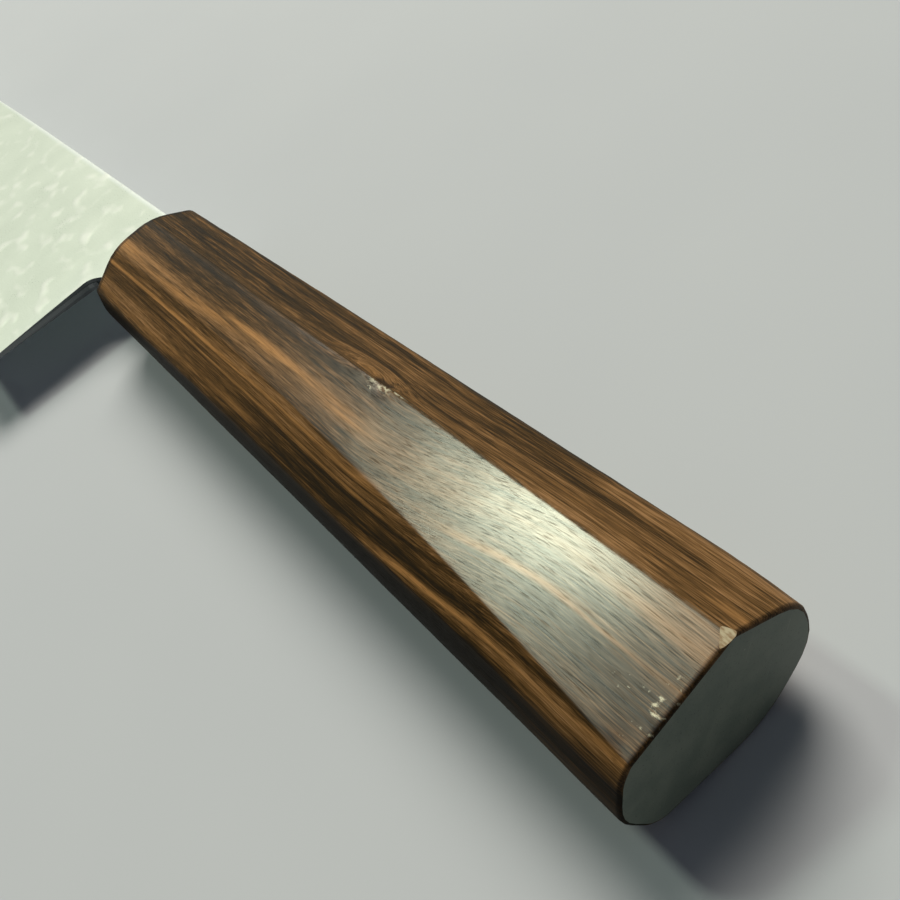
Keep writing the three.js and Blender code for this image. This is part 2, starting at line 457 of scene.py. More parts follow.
def handleRing(along, inset):
    left = [handleCorner(name, along) for name in leftNames]
    sharp = [handleCorner("crown", along)] + left + [Vector((c.x, -c.y)) for c in reversed(left)]
    count = len(sharp)
    corners = [insetCorner(sharp[i - 1], sharp[i], sharp[(i + 1) % count], inset) for i in range(count)]
    steps = [k / handleSet["cornerSteps"] for k in range(handleSet["cornerSteps"] + 1)]
    bends = []
    for i, corner in enumerate(corners):
        before = corners[i - 1] - corner
        after = corners[(i + 1) % count] - corner
        ease = min(edgeEase(edgeNames[i], along), min(before.length, after.length) * handleSet["facetShare"])
        start = corner + before.normalized() * ease
        end = corner + after.normalized() * ease
        bends.append([start.lerp(corner, t).lerp(corner.lerp(end, t), t) for t in steps])
    ring = []
    for i, bend in enumerate(bends):
        ring += bend
        after = bends[(i + 1) % count][0]
        ring += [bend[-1].lerp(after, t) for t in handleSet["flatStops"]]
    return ring


def handleStations():
    # places along the handle with how far the section is drawn in there
    length = handleSet["length"]
    buttRound = handleSet["buttRound"]
    frontRound = handleSet["frontRound"]
    turns = [math.pi / 2 * k / handleSet["roundSteps"] for k in range(handleSet["roundSteps"])]
    butt = [(buttRound * (1 - math.cos(a)), buttRound * (1 - math.sin(a))) for a in turns]
    front = [(length - frontRound * (1 - math.cos(a)), frontRound * (1 - math.sin(a))) for a in turns]
    near = [buttRound + step for step in (0.0,) + handleSet["buttStations"]]
    first = near[-1]
    last = length - frontRound
    count = round((last - first) / handleSet["stationGap"])
    middle = near + [lerp(first, last, (k + 1) / count) for k in range(count)]
    return butt + [(place, 0.0) for place in middle] + front[::-1]


def knockDepth(along, point):
    depth = 0.0
    for place, name, wide, deep in handleSet["knocks"]:
        corner = handleCorner(name, place)
        gap = (Vector((along, point.x, point.y)) - Vector((place, corner.x, corner.y))).length
        depth += deep * math.exp(-(gap / wide) ** 2)
    return depth


def handlePoint(along, point):
    # a hand-sanded face: gently uneven, with a few knocks on its edges
    lump = noise.noise(Vector((along, point.x, point.y)) / handleSet["sandingLump"])
    shift = handleSet["sanding"] * (lump - handleSet["sandingLevel"]) - knockDepth(along, point)
    out = point + point.normalized() * shift
    return buttPlace + Vector((along, out.x, out.y)) * mm


def markBelly(bm, spot, count):
    # the facet under the belly edges, on both sides of the crown
    cornerSteps = handleSet["cornerSteps"]
    perEdge = cornerSteps + 1 + len(handleSet["flatStops"])
    toBelly = perEdge + cornerSteps // 2
    spots = set(range(toBelly + 1)) | set(range(count - toBelly + cornerSteps, count))
    for face in bm.faces:
        if all(vert[spot] in spots for vert in face.verts):
            face.material_index = handleSet["finishAt"]["belly"]


def sinkMortise(bm, spot, edges, ring):
    # the front face runs in to the mortise, which is then sunk
    halfTall, halfWide = handleSet["mortise"]["half"]
    nothing = handleSet["nothing"]
    for along in (handleSet["length"], handleSet["mortise"]["floor"]):
        edges, verts, _ = growEdges(bm, edges)
        for vert in verts:
            point = ring[vert[spot]]
            reach = min(halfTall / max(abs(point.x), nothing), halfWide / max(abs(point.y), nothing))
            vert.co = buttPlace + Vector((along, point.x * reach, point.y * reach)) * mm
    bmesh.ops.edgeloop_fill(bm, edges=edges)


def fileCorner(bm):
    # cuts the filed flat and keeps its rim sharp
    filed = handleSet["filed"]
    corner = handleCorner("upper", 0)
    outward = Vector(filed["outward"]).normalized()
    spot = buttPlace + (Vector((0, corner.x, corner.y)) - outward * filed["depth"]) * mm
    everything = list(bm.verts) + list(bm.edges) + list(bm.faces)
    cut = bmesh.ops.bisect_plane(bm, geom=everything, plane_co=spot, plane_no=outward, clear_outer=True)
    rim = pick(cut["geom_cut"], bmesh.types.BMEdge)
    for face in bmesh.ops.holes_fill(bm, edges=rim, sides=0)["faces"]:
        face.material_index = handleSet["finishAt"]["filed"]
    for edge in rim:
        edge.smooth = False


def makeHandle(finishes):
    bm = bmesh.new()
    stations = handleStations()
    ring = handleRing(*stations[0])
    spot = bm.verts.layers.int.new("spot")
    made = bmesh.ops.create_circle(bm, segments=len(ring), radius=mm)
    for index, vert in enumerate(made["verts"]):
        vert[spot] = index
        vert.co = handlePoint(stations[0][0], ring[index])
    buttEdges = list(bm.edges)
    edges = buttEdges
    for along, inset in stations[1:]:
        ring = handleRing(along, inset)
        edges, verts, _ = growEdges(bm, edges)
        for vert in verts:
            vert.co = handlePoint(along, ring[vert[spot]])
    markBelly(bm, spot, len(ring))
    for face in bmesh.ops.edgeloop_fill(bm, edges=buttEdges)["faces"]:
        face.material_index = handleSet["finishAt"]["butt"]
    sinkMortise(bm, spot, edges, ring)
    fileCorner(bm)
    bmesh.ops.recalc_face_normals(bm, faces=bm.faces)
    addPiece("handleWood", bm, finishes, "handle", handleSet["sharpest"])


# pairs are where a mask begins and where it is full, in millimetres or in parts of a noise
woodSet = {
    # tones of the wood, from near black to tan
    "tones": ((0.26, (31, 23, 10)), (0.44, (65, 47, 22)), (0.6, (108, 79, 46)), (0.8, (150, 114, 77))),
    "amber": (194, 143, 88),
    # height from the middle at which a chamfer turns into a side flat
    "sideFlat": (6.8, 8.8),
    # the left upper edge: how far across it starts, and its slope
    "upperEdge": (-6.4, 0.0129),
    "spineFade": (0.4, -0.4),
    # the side flats, by their upper edge, their lower edge and the butt
    "flatTop": (0.15, 0.5),
    "flatBottom": (0.0, 0.35),
    "flatButt": (0.2, 0.55),
    # the faces that tones step on: height on the spine's outer part, distance across on the others
    "outer": (9.5, 6.0),
    "upper": (0.0, -4.0),
    "middleAt": 0.6,
    "middle": (3.5, 0.7),
    "lower": (0.0, 3.0),
    "belly": (4.5, 7.0),
    # painted shade: the facet under the belly edge is made almost black
    "under": (11.3, 12.1),
    "underSlope": 0.006,
    "underShadeTone": 0.3,
    "underShade": 0.6,
    # the layers swing towards the cutting edge between two places, less on the chamfers
    "drift": (16, 58, 5.8),
    "chamferDrift": 0.3,
    "waveHeight": 0.9,
    # a small eye in the grain above the left upper edge: middle, reach and how far it bends the layers
    "eye": ((65, -6.9, 9.9), (7, 2.0, 2.0), 2.2),
    "eyeTone": 0.07,
    # noises: length along the grain, width and depth, detail, roughness
    "wave": (46, 15, 15, 2.0, 0.5),
    "grains": {
        "streak": (90, 2.1, 7, 3.0, 0.55),
        "line": (26, 0.6, 1.6, 3.0, 0.6),
        "thread": (15, 0.34, 0.34, 2.0, 0.6),
        "fibre": (4.5, 0.17, 0.17, 2.0, 0.6),
        "pore": (3.2, 0.09, 0.09, 1.0, 0.5),
        "broken": (30, 1.2, 6, 3.0, 0.5),
    },
    "poreCut": (0.54, 0.68),
    "brokenCut": (0.3, 0.6),
    # how far each noise moves the tone: anywhere, more on the side flats, more on the spine
    "toneMiddle": 0.5,
    "toneOf": {
        "streak": (0.95, 0.0, -0.1),
        "line": (0.42, -0.14, 0.24),
        "thread": (0.42, -0.1, 0.2),
        "fibre": (0.66, 0.0, 0.0),
    },
    # how the tone steps along the handle: which face, from where to where, by how much
    "toneSteps": (
        ("spine", -20, -10, 0.11),
        ("spine", 16, 34, -0.09),
        ("outer", 14, 40, -0.11),
        ("spine", 60, 100, -0.05),
        # painted highlight: near the butt the upper part of the side flat is lighter, following the
        # highlight's slant
        ("upper", -20, -10, 0.09),
        ("upper", 6, 16, -0.09),
        ("upper", 80, 112, -0.09),
        ("middle", -20, -10, 0.1),
        ("middle", 8, 20, -0.03),
        ("middle", 60, 80, 0.02),
        # painted shade: near the butt the lower part of the side flat is darker, below the slanted highlight
        ("lower", -20, -10, -0.13),
        ("lower", 18, 34, 0.13),
        ("lower", 55, 75, 0.11),
        ("belly", -20, -10, 0.15),
        ("belly", 10, 30, -0.3),
        ("belly", 60, 95, 0.12),
        ("belly", 95, 122, 0.09),
    ),
    # amber layers: centre, half width, where they begin and end, how far they swing near the front, strength
    "amberLayers": (
        (1.0, 0.9, -20, 160, 0.0, 0.9),
        (-3.2, 0.8, -20, 28, 0.0, 0.3),
        (-5.0, 1.6, 50, 160, 1.9, 1.0),
        (4.6, 0.7, 40, 120, -0.6, 0.45),
        (9.8, 0.6, -20, 50, 0.0, 0.7),
        (8.3, 0.9, 70, 160, 0.8, 0.4),
        (-8.6, 0.9, -20, 40, 0.0, 0.4),
    ),
    "amberFade": 14,
    "amberRim": (0.0, 0.9),
    # how much amber shows anywhere, and how much more on the fibres
    "amberFibre": (0.45, 0.7),
    "frontSwing": (88, 114),
    "poreShade": 0.38,
    "fleck": (238, 233, 206),
    # where flecks gather: along, across, how long and how wide
    "fleckPatches": ((1, 3.5, 8, 6), (61.5, -4.4, 5, 2.2)),
    "fleckUp": (6.0, 8.0),
    "fleckSize": (1.2, 0.8, 0.8, 4.0, 0.6),
    "fleckGather": 0.15,
    "fleckCut": (0.7, 0.86),
    "fleckRim": (0.0, 0.2),
    "fleckAmount": 0.9,
    # the chip in the upper edge: along, how long, how wide
    "chip": (60.8, 3.6, 1.6),
    "crumbSize": (0.9, 0.5, 0.5, 2.0, 0.5),
    # its pale bruise on the flat, in shares of its length and from the edge
    "bruiseEnds": (1.0, 0.2),
    "bruiseTop": (0.1, 0.3),
    "bruiseFull": 0.2,
    "bruiseCut": (0.42, 0.62),
    "bruiseAmount": 0.8,
    # painted shade in the notch that the chip cuts out of the chamfer
    "biteShadeEnds": (0.7, 0.3),
    "biteShadeTop": (-0.9, -0.4),
    "biteShadeBottom": (0.15, 0.0),
    "biteShadeAmount": 0.75,
    # the painted highlight along the upper edge behind the chip, and how much brighter it is close to it
    "edgeGlintTop": (-0.05, 0.08),
    "edgeGlintBottom": (0.3, 0.12),
    "edgeGlintCut": (0.4, 0.62),
    "edgeGlintEnd": (62, 58),
    "edgeGlintAmount": 0.05,
    "edgeGlintClose": (54, 57),
    "edgeGlintMore": 0.55,
    # the rims of both ends are darker: partly their end grain, partly painted shade on the eased edges
    "buttRim": (0.7, 0.3),
    "frontRim": (138.0, 138.5),
    "rimShade": 0.65,
    "roughSide": 0.4,
    "roughChamfer": 0.5,
    "roughFibre": 0.24,
    "roughPore": 0.1,
    # what each noise adds to the relief, and its depth in millimetres and strength
    "reliefOf": {"fibre": 0.7, "line": 0.12, "pore": -0.4},
    "relief": (0.025, 0.6),
    # how much each of the two finishes mirrors
    "shine": {"darkWood": 0.06, "bellyWood": 0.03},
    # the polish of the side flats, which is worn off towards the front
    "gloss": 0.95,
    "glossRough": 0.24,
    "glossBend": 1.7,
    "glossWorn": (46, 102),
    "worn": 0.87,
    # and a little duller away from the upper edge
    "glossHandled": (-3.0, 2.0),
    "handled": 0.16,
    # how much of it lies anywhere, how much more on the fibres, and how much less in the pores
    "glossFibre": (0.6, 0.8),
    "glossPore": 0.6,
}


def woodFaces(along, across, up):
    # masks of the handle's faces, and the distance from the left upper edge
    w = woodSet
    edgeStart, edgeSlope = w["upperEdge"]
    fromEdge = across - along * edgeSlope - edgeStart
    spine = fromEdge.span(*w["spineFade"])
    side = abs(up).span(*w["sideFlat"])
    # the lower edge bends as its corner does
    share = along / handleSet["length"]
    start = handleSet["butt"]["lower"][0]
    waist = handleSet["lowerWaist"][0]
    end = handleSet["front"]["lower"][0]
    lowerEdge = start + share * (2 * (waist - start)) + share * share * (start - 2 * waist + end)
    inFlat = fromEdge.span(*w["flatTop"]) * (lowerEdge - across).span(*w["flatBottom"])
    return {
        "fromEdge": fromEdge,
        "side": side,
        "flat": inFlat * along.span(*w["flatButt"]),
        "spine": spine,
        "outer": spine * abs(up).span(*w["outer"]),
        "upper": (1 - spine) * across.span(*w["upper"]),
        "middle": side * abs(across - w["middleAt"]).span(*w["middle"]),
        "lower": side * across.span(*w["lower"]),
        "belly": across.span(*w["belly"]) * (1 - side),
        "under": (across - along * w["underSlope"]).span(*w["under"]),
    }


def woodLayers(parts, faces):
    # growth layers lie across the handle and swing towards the edge on the way to the front
    w = woodSet
    along, across, up = parts
    wave = along.grain(parts, w["wave"]).centred() * w["waveHeight"]
    middle, reach, bend = w["eye"]
    gaps = [(part - at) / far for part, at, far in zip(parts, middle, reach)]
    eye = along.maths("EXPONENT", sum(gap * gap for gap in gaps) * -1.0)
    start, end, swing = w["drift"]
    onFlat = faces["side"] * (1 - faces["spine"])
    drift = along.span(start, end) * lerp(w["chamferDrift"], 1, onFlat) * swing
    layer = across - drift + wave + eye * bend
    grain = {name: along.grain((along, layer, up), size) for name, size in w["grains"].items()}
    for name in ("pore", "broken"):
        grain[name] = grain[name].span(*w[name + "Cut"])
    return layer, eye, grain


def woodTone(along, faces, grain, eye):
    w = woodSet
    # painted shade lowers the tone of the facet under the belly edge
    tone = w["toneMiddle"] + eye * w["eyeTone"] - faces["under"] * w["underShadeTone"]
    for name, (anywhere, onSide, onSpine) in w["toneOf"].items():
        tone = tone + grain[name].centred() * (anywhere + faces["side"] * onSide + faces["spine"] * onSpine)
    for face, begin, finish, amount in w["toneSteps"]:
        tone = tone + faces[face] * along.span(begin, finish) * amount
    stops = [(level, srgb(*colour)) for level, colour in w["tones"]]
    return tone.node("ValToRGB", {"stops": stops}, {0: tone})


def addAmber(colour, along, layer, grain):
    # a few broad amber layers, broken up along their length
    w = woodSet
    frontShare = along.span(*w["frontSwing"])
    amber = None
    for centre, half, begin, finish, late, strength in w["amberLayers"]:
        gap = abs(layer - centre - frontShare * late)
        ends = along.span(begin, begin + w["amberFade"]) * along.span(finish, finish - w["amberFade"])
        band = (1 - gap / half).span(*w["amberRim"]) * ends * strength
        amber = band if amber is None else amber.maths("MAXIMUM", amber, band)
    anywhere, onFibre = w["amberFibre"]
    shown = amber * grain["broken"] * (anywhere + grain["fibre"] * onFibre)
    return shown.tint(colour, srgb(*w["amber"]))


def addFlecks(colour, parts, faces):
    # pale flecks by the butt and on the worn upper edge
    w = woodSet
    along, across, up = parts
    patch = 0.0
    for x, y, long, wide in w["fleckPatches"]:
        near = along.vector((along - x) / long, (across - y) / wide, 0.0).length().span(1.0, 0.0)
        patch = patch + near * up.span(*w["fleckUp"]) * (1 - faces["spine"])
    fleck = along.grain(parts, w["fleckSize"]) + patch * w["fleckGather"]
    fleck = fleck.span(*w["fleckCut"]) * patch.span(*w["fleckRim"])
    return (fleck * w["fleckAmount"]).tint(colour, srgb(*w["fleck"]))


def addWearAndPaintedLight(colour, parts, fromEdge):
    # the chip is pale on the flat, with painted shade in its notch on the chamfer
    w = woodSet
    along = parts[0]
    pale = srgb(*w["fleck"])
    chipAt, chipLong, chipWide = w["chip"]
    fromChip = abs(along - chipAt) / chipLong
    crumb = along.grain(parts, w["crumbSize"])
    bruise = fromChip.span(*w["bruiseEnds"]) * crumb.span(*w["bruiseCut"])
    bruise = bruise * fromEdge.span(*w["bruiseTop"]) * fromEdge.span(chipWide, w["bruiseFull"])
    colour = (bruise * w["bruiseAmount"]).tint(colour, pale)
    # painted shade in the chip's notch on the chamfer
    biteShade = fromChip.span(*w["biteShadeEnds"]) * fromEdge.span(*w["biteShadeTop"]) * fromEdge.span(*w["biteShadeBottom"])
    colour = along.shade(colour, 1 - biteShade * w["biteShadeAmount"])
    # a painted highlight along the upper edge, brightest beside the chip
    edgeGlint = fromEdge.span(*w["edgeGlintTop"]) * fromEdge.span(*w["edgeGlintBottom"])
    edgeGlint = edgeGlint * crumb.span(*w["edgeGlintCut"]) * along.span(*w["edgeGlintEnd"])
    amount = w["edgeGlintAmount"] + along.span(*w["edgeGlintClose"]) * w["edgeGlintMore"]
    colour = (edgeGlint * amount).tint(colour, pale)
    # darker rims at both ends: partly end grain, partly painted shade
    rim = along.maths("MAXIMUM", along.span(*w["buttRim"]), along.span(*w["frontRim"]))
    return along.shade(colour, 1 - rim * w["rimShade"])


def makeWood(name):
    w = woodSet
    material, shader, place = newFinish(name, buttPlace)
    parts = place.parts()
    along, across, up = parts
    faces = woodFaces(along, across, up)
    layer, eye, grain = woodLayers(parts, faces)
    fibre = grain["fibre"]
    pore = grain["pore"]
    colour = addAmber(woodTone(along, faces, grain, eye), along, layer, grain)
    # darker pores, and painted shade on the facet under the belly edge
    colour = place.shade(colour, (1 - pore * w["poreShade"]) * (1 - faces["under"] * w["underShade"]))
    colour = addWearAndPaintedLight(addFlecks(colour, parts, faces), parts, faces["fromEdge"])
    rough = lerp(w["roughChamfer"], w["roughSide"], faces["flat"])
    height = sum(grain[part] * amount for part, amount in w["reliefOf"].items())
    polish = faces["flat"] * w["gloss"] * (1 - along.span(*w["glossWorn"]) * w["worn"])
    polish = polish * (1 - across.span(*w["glossHandled"]) * w["handled"])
    anywhere, onFibre = w["glossFibre"]
    place.feed(shader, {
        "Base Color": colour,
        "Roughness": rough + fibre.centred() * w["roughFibre"] + pore * w["roughPore"],
        "Specular IOR Level": w["shine"][name],
        "Coat Weight": polish * (anywhere + fibre * onFibre) * (1 - pore * w["glossPore"]),
        "Coat Roughness": w["glossRough"],
        "Coat IOR": w["glossBend"],
        "Normal": place.bump(height, w["relief"]),
    })
    return material


endSet = {
    "dark": (88, 97, 88),
    "light": (103, 110, 100),
    "speck": (140, 142, 130),
    "scratch": (128, 132, 124),
    # noises: depth into the butt, width and height, detail, roughness
    "cloudSize": (1, 4, 4, 4.0, 0.6),
    "dotSize": (1, 0.28, 0.28, 1.0, 0.5),
    "dustSize": (1, 0.6, 0.6, 2.0, 0.5),
    "scratchSize": (1, 0.14, 7, 1.0, 0.5),
    # moved across, so that the dust does not lie on the dots
    "dustShift": 24,
    "scratchSlant": 0.6,
    "cloudCut": (0.3, 0.7),
    "dotCut": (0.62, 0.74),
    "dustCut": (0.72, 0.78),
    "scratchCut": (0.68, 0.78),
    # the scratches show in the light patches
    "scratchPatch": (0.45, 0.65),
    "dotShade": 0.35,
    "dustAmount": 0.7,
    "scratchAmount": 0.5,
    "rough": 0.6,
    "roughCloud": 0.25,
    "roughScratch": 0.12,
    "shine": 0.3,
    "cloudHeight": 0.5,
    "dotDepth": 0.5,
    "scratchDepth": 0.4,
    "relief": (0.02, 0.7),
}


def makeEndGrain():
    s = endSet
    material, shader, place = newFinish("endGrain", buttPlace)
    along, across, up = place.parts()
    slanted = (along, across + up * s["scratchSlant"], up - across * s["scratchSlant"])
    cloud = place.grain((along, across, up), s["cloudSize"])
    dots = place.grain((along, across, up), s["dotSize"]).span(*s["dotCut"])
    dust = place.grain((along, across + s["dustShift"], up), s["dustSize"]).span(*s["dustCut"])
    scratch = place.grain(slanted, s["scratchSize"]).span(*s["scratchCut"])
    colour = cloud.span(*s["cloudCut"]).tint(srgb(*s["dark"]), srgb(*s["light"]))
    colour = place.shade(colour, 1 - dots * s["dotShade"])
    colour = (dust * s["dustAmount"]).tint(colour, srgb(*s["speck"]))
    shown = scratch * cloud.span(*s["scratchPatch"]) * s["scratchAmount"]
    height = cloud * s["cloudHeight"] - dots * s["dotDepth"] - scratch * s["scratchDepth"]
    place.feed(shader, {
        "Base Color": shown.tint(colour, srgb(*s["scratch"])),
        "Roughness": s["rough"] + cloud.centred() * s["roughCloud"] - scratch * s["roughScratch"],
        "Specular IOR Level": s["shine"],
        "Normal": place.bump(height, s["relief"]),
    })
    return material


rawWoodGlintSet = {
    "pale": (196, 184, 154),
    "deep": (150, 124, 92),
    "fibreSize": (1.5, 0.3, 0.3, 3.0, 0.5),
    "fibreCut": (0.35, 0.65),
    "rough": 0.55,
    "roughFibre": 0.2,
    "relief": (0.02, 0.5),
}


def makeRawWoodAndGlint():
    # fresh wood bared by the file, made pale partly as a painted highlight
    material, shader, place = newFinish("rawWoodAndGlint", buttPlace)
    fibre = place.grain(place.parts(), rawWoodGlintSet["fibreSize"])
    place.feed(shader, {
        "Base Color": fibre.span(*rawWoodGlintSet["fibreCut"]).tint(srgb(*rawWoodGlintSet["deep"]), srgb(*rawWoodGlintSet["pale"])),
        "Roughness": rawWoodGlintSet["rough"] + fibre.centred() * rawWoodGlintSet["roughFibre"],
        "Normal": place.bump(fibre, rawWoodGlintSet["relief"]),
    })
    return material


makeHandle([makeWood("darkWood"), makeEndGrain(), makeRawWoodAndGlint(), makeWood("bellyWood")])

# sizes in millimetres from the butt, and across from the handle's middle line
bladeSet = {
    "spineCurve": ((139.5, -9.3), (254.5, -7.7), (362.5, -7.7), (394.5, 11.3)),
    "edgeCurve": ((139.5, 40.7), (259.5, 40.7), (346.5, 40.7), (394.5, 12.1)),
    "neckThickness": 3.2,
    "tipThickness": 1.0,
    "taperPower": 1.3,
    "grindPower": 1.8,
    "edgeThickness": 0.3,
    "spineEase": 0.5,
    # the most of the blade's height or thickness that the ease may take
    "easeMost": 0.25,
    "weld": 0.45,
    # keeps a strip of the outer layer at the thin tip
    "weldLeast": 0.02,
    "neckBottom": 9.6,
    "choilTop": (150.1, -9.3),
    "heel": (154.5, 40.7),
    "choilSweep": 4.0,
    "columns": 440,
    "rows": 86,
    "easeRows": 5,
    # a row starts within this share of the length, found in so many halvings with the weld at one place
    "startMost": 0.2,
    "startTries": 40,
    "startWeld": 0.05,
    # lumps of the pear skin: height, length, width, a fixed slice of the noise
    "lump": 0.008,
    "lumpLong": 3.4,
    "lumpTall": 3.8,
    "lumpSlice": 3.7,
    # they begin below the spine, rise over a way and fade before the weld
    "lumpBegin": 0.6,
    "lumpRise": 1.5,
    "lumpFall": 9,
    "tang": {"from": 47.5, "to": 143.5, "thick": 1.3, "rootHalf": 6, "endHalf": 4},
    "mergeGap": 0.0005,
    "rimFinish": 1,
    "sharpest": 40,
    "coreSharpest": 12,
}


def curvePoint(points, share):
    a, b, c, d = (Vector(p) for p in points)
    ab, bc, cd = a.lerp(b, share), b.lerp(c, share), c.lerp(d, share)
    return ab.lerp(bc, share).lerp(bc.lerp(cd, share), share)


def bladePoint(along, share):
    return curvePoint(bladeSet["spineCurve"], along).lerp(curvePoint(bladeSet["edgeCurve"], along), share)


def bladeThickness(along):
    return lerp(bladeSet["tipThickness"], bladeSet["neckThickness"], (1 - along) ** bladeSet["taperPower"])


def halfThickness(share, thick):
    return lerp(thick, bladeSet["edgeThickness"], share ** bladeSet["grindPower"]) / 2


def weldShare(along):
    # where the grind reaches the core
    thick = bladeThickness(along)
    bare = (thick - 2 * bladeSet["weld"]) / (thick - bladeSet["edgeThickness"])
    return max(bare, bladeSet["weldLeast"]) ** (1 / bladeSet["grindPower"])


def choilSlope():
    top = Vector(bladeSet["choilTop"])
    heel = Vector(bladeSet["heel"])
    return (heel.x - top.x) / (heel.y - top.y)


def choilLine(height):
    # how far from the butt the choil is, at a height below the neck
    top = Vector(bladeSet["choilTop"])
    line = top.x + (height - top.y) * choilSlope()
    sweep = bladeSet["choilSweep"]
    into = max(0.0, 1 - (height - bladeSet["neckBottom"]) / sweep)
    return line - sweep * into ** 2


def rowStart(share):
    # the share of the blade's length at which a row of the face begins
    low, high = 0.0, bladeSet["startMost"]
    if bladePoint(0.0, share).y <= bladeSet["neckBottom"]:
        return low
    for _ in range(bladeSet["startTries"]):
        middle = (low + high) / 2
        point = bladePoint(middle, share)
        low, high = (middle, high) if point.x < choilLine(point.y) else (low, middle)
    return high


def facePoint(column, row, start):
    along = lerp(start, 1.0, column)
    thick = bladeThickness(along)
    height = (bladePoint(along, 1.0) - bladePoint(along, 0.0)).length
    ease = min(bladeSet["spineEase"], min(height, thick) * bladeSet["easeMost"])
    easeShare = bladeSet["easeRows"] / bladeSet["rows"]
    weld = weldShare(along)
    if row < easeShare:
        angle = row / easeShare * math.pi / 2
        share = ease / height * (1 - math.cos(angle))
        half = thick / 2 - ease + ease * math.sin(angle)
    else:
        share = lerp(ease / height, weld, (row - easeShare) / (1 - easeShare))
        half = halfThickness(share, thick)
    point = bladePoint(along, share)
    fromSpine = share * height
    rise = min(1.0, max(0.0, fromSpine - bladeSet["lumpBegin"]) / bladeSet["lumpRise"])
    fall = min(1.0, max(0.0, weld * height - fromSpine) / bladeSet["lumpFall"])
    spot = Vector((point.x / bladeSet["lumpLong"], point.y / bladeSet["lumpTall"], bladeSet["lumpSlice"]))
    return point, half + bladeSet["lump"] * rise * fall * noise.noise(spot)


def addTang(bm, side):
    # this layer's share of the tang, which tapers to its end inside the handle
    tang = bladeSet["tang"]
    cube = bmesh.ops.create_cube(bm, size=1.0)["verts"]
    for vert in cube:
        along = tang["to"] if vert.co.x > 0 else tang["from"]
        tall = tang["rootHalf"] if vert.co.x > 0 else tang["endHalf"]
        depth = tang["thick"] if vert.co.z * side > 0 else bladeSet["weld"]
        vert.co = buttPlace + Vector((along, math.copysign(tall, vert.co.y), side * depth)) * mm


def makeSkin(name, side, node, finishes):
    bm = bmesh.new()
    unitHalf = 0.5
    bmesh.ops.create_grid(bm, x_segments=bladeSet["columns"], y_segments=bladeSet["rows"], size=unitHalf)
    starts = {}
    for vert in bm.verts:
        row = vert.co.y + unitHalf
        key = round(row, 5)
        if key not in starts:
            starts[key] = rowStart(row * weldShare(bladeSet["startWeld"]))
        point, half = facePoint(vert.co.x + unitHalf, row, starts[key])
        vert.co = buttPlace + Vector((point.x, point.y, side * half)) * mm
    # the rim drops to the weld, and the weld face closes the layer
    _, verts, faces = growEdges(bm, [e for e in bm.edges if e.is_boundary])
    for vert in verts:
        vert.co.z = buttPlace.z + side * bladeSet["weld"] * mm
    for face in faces:
        face.material_index = bladeSet["rimFinish"]
    bmesh.ops.remove_doubles(bm, verts=bm.verts, dist=bladeSet["mergeGap"] * mm)
    bmesh.ops.holes_fill(bm, edges=[e for e in bm.edges if e.is_boundary], sides=0)
    bmesh.ops.recalc_face_normals(bm, faces=bm.faces)
    # so thin a layer can come out of that inside out
    if bm.calc_volume(signed=True) < 0:
        bmesh.ops.reverse_faces(bm, faces=bm.faces)
    addTang(bm, side)
    addPiece(name, bm, finishes, node, bladeSet["sharpest"])


pearSet = {
    "pale": (231, 241, 230),
    "deep": (219, 230, 218),
    # painted highlight: the raised lumps are made paler
    "lump": (250, 255, 249),
    "neckPale": (242, 252, 247),
    "spine": (246, 254, 255),
    # noises: length, height, depth, detail, roughness, each at a fixed depth
    "patchSize": (9, 12, 1, 3.0, 0.5),
    "patchAt": 0.0,
    "lumpSize": (5.0, 4.4, 1, 1.0, 0.5),
    "lumpAt": 7.0,
    "fineSize": (0.24, 0.34, 1, 2.0, 0.5),
    "fineAt": 2.0,
    "lumpCut": (0.5, 0.78),
    "pitCut": (0.64, 0.76),
    "fineShare": 0.6,
    "toneCut": (0.3, 0.7),
    "pitShade": 0.08,
    # brightest by the neck
    "neckPaleEnds": (162, 141),
    "neckPaleAmount": 0.6,
    # the spine by the neck: how far across, from where along, and its slope
    "spineLine": (-9.3, 139.5, 0.0139),
    "spineFade": (1.5, 0.3),
    "spineAmount": 0.8,
    "lumpGlintAmount": 0.8,
    "metal": 0.45,
    "rough": 0.3,
    "roughFine": 0.1,
    "roughPatch": 0.06,
    "lumpRelief": (0.1, 0.9),
    "fineRelief": (0.006, 0.12),
}


def makePearSkin():
    s = pearSet
    material, shader, place = newFinish("pearSkinSteel", buttPlace)
    along, across, _ = place.parts()
    patch = place.grain((along, across, s["patchAt"]), s["patchSize"])
    lump = place.grain((along, across, s["lumpAt"]), s["lumpSize"]).span(*s["lumpCut"])
    fine = place.grain((along, across, s["fineAt"]), s["fineSize"])
    colour = lerp(patch, fine, s["fineShare"]).span(*s["toneCut"]).tint(srgb(*s["deep"]), srgb(*s["pale"]))
    colour = place.shade(colour, 1 - fine.span(*s["pitCut"]) * s["pitShade"])
    colour = (along.span(*s["neckPaleEnds"]) * s["neckPaleAmount"]).tint(colour, srgb(*s["neckPale"]))
    # the eased spine catches the light for the first part of its length
    spineAt, spineFrom, spineSlope = s["spineLine"]
    fromSpine = across - spineAt - (along - spineFrom) * spineSlope
    colour = (fromSpine.span(*s["spineFade"]) * s["spineAmount"]).tint(colour, srgb(*s["spine"]))
    place.feed(shader, {
        # painted highlight on the raised lumps
        "Base Color": (lump * s["lumpGlintAmount"]).tint(colour, srgb(*s["lump"])),
        "Metallic": s["metal"],
        "Roughness": s["rough"] + fine.centred() * s["roughFine"] + patch.centred() * s["roughPatch"],
        "Normal": place.bump(fine, s["fineRelief"], place.bump(lump, s["lumpRelief"])),
    })
    return material


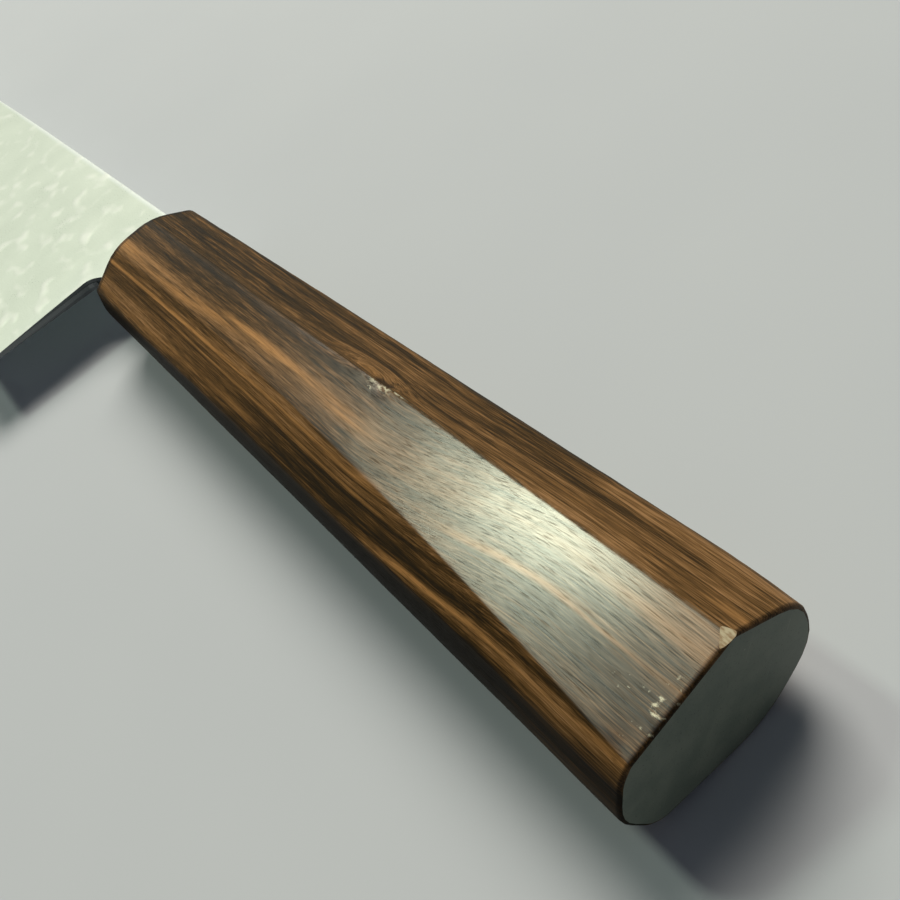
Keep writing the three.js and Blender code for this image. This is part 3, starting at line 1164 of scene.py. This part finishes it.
groundSet = {
    # each finish has a fine scratch: its length, width and depth, detail, roughness
    "rimSteel": {
        "pale": (196, 200, 204),
        "deep": (168, 172, 178),
        "rough": 0.5,
        "lineSize": (6, 0.09, 0.09, 2.0, 0.5),
    },
    "edgeSteel": {
        "pale": (214, 216, 218),
        "deep": (190, 193, 197),
        "rough": 0.24,
        "lineSize": (0.12, 7, 7, 2.0, 0.5),
    },
    "patchSize": (14, 9, 2, 3.0, 0.5),
    "toneCut": (0.32, 0.68),
    # painted shade on the choil, up to the heel
    "choil": (70, 74, 76),
    "choilShadeFade": (0.45, 0.2),
    "choilShadeBelow": (8.0, 9.4),
    "choilShadeAmount": 0.9,
    "metal": 1.0,
    "roughLine": 0.2,
    "roughPatch": 0.12,
    "relief": (0.006, 0.5),
}


def makeGround(name):
    s = groundSet
    finish = s[name]
    material, shader, place = newFinish(name, buttPlace)
    along, across, up = place.parts()
    line = place.grain((along, across, up), finish["lineSize"])
    patch = place.grain((along, across, up), s["patchSize"])
    colour = ((line + patch) / 2).span(*s["toneCut"]).tint(srgb(*finish["deep"]), srgb(*finish["pale"]))
    # painted shade darkens the choil
    top = Vector(bladeSet["choilTop"])
    fromChoil = along - top.x - (across - top.y) * choilSlope()
    choil = fromChoil.span(*s["choilShadeFade"]) * across.span(*s["choilShadeBelow"])
    rough = finish["rough"] + line.centred() * s["roughLine"] + patch.centred() * s["roughPatch"]
    place.feed(shader, {
        "Base Color": (choil * s["choilShadeAmount"]).tint(colour, srgb(*s["choil"])),
        "Metallic": s["metal"],
        "Roughness": rough,
        "Normal": place.bump(line, s["relief"]),
    })
    return material


def makeCore(finish):
    # the solid's own mesh, welded so that its ground faces shade as one
    bm = bmesh.new()
    bm.from_mesh(frame["nodes"]["core_steel"].data)
    bmesh.ops.remove_doubles(bm, verts=bm.verts, dist=bladeSet["mergeGap"] * mm)
    addPiece("coreBlade", bm, [finish], "core_steel", bladeSet["coreSharpest"])


skinFinishes = [makePearSkin(), makeGround("rimSteel")]
makeSkin("leftSkin", 1, "left_cladding", skinFinishes)
makeSkin("rightSkin", -1, "right_cladding", skinFinishes)
makeCore(makeGround("edgeSteel"))

resinSet = {
    "deep": (20, 19, 18),
    "pale": (34, 32, 30),
    "cloudSize": (1.5, 1.5, 1.5, 4.0, 0.5),
    "cloudCut": (0.3, 0.7),
    "rough": 0.4,
    "roughCloud": 0.3,
    "relief": (0.05, 0.5),
}


def dressBedding():
    material, shader, place = newFinish("beddingResin", buttPlace)
    cloud = place.grain(place.parts(), resinSet["cloudSize"])
    tone = cloud.span(*resinSet["cloudCut"])
    place.feed(shader, {
        "Base Color": tone.tint(srgb(*resinSet["deep"]), srgb(*resinSet["pale"])),
        "Roughness": resinSet["rough"] + cloud.centred() * resinSet["roughCloud"],
        "Normal": place.bump(cloud, resinSet["relief"]),
    })
    for slot in frame["nodes"]["tang_bedding"].material_slots:
        slot.material = material


dressBedding()
print("finishes set")
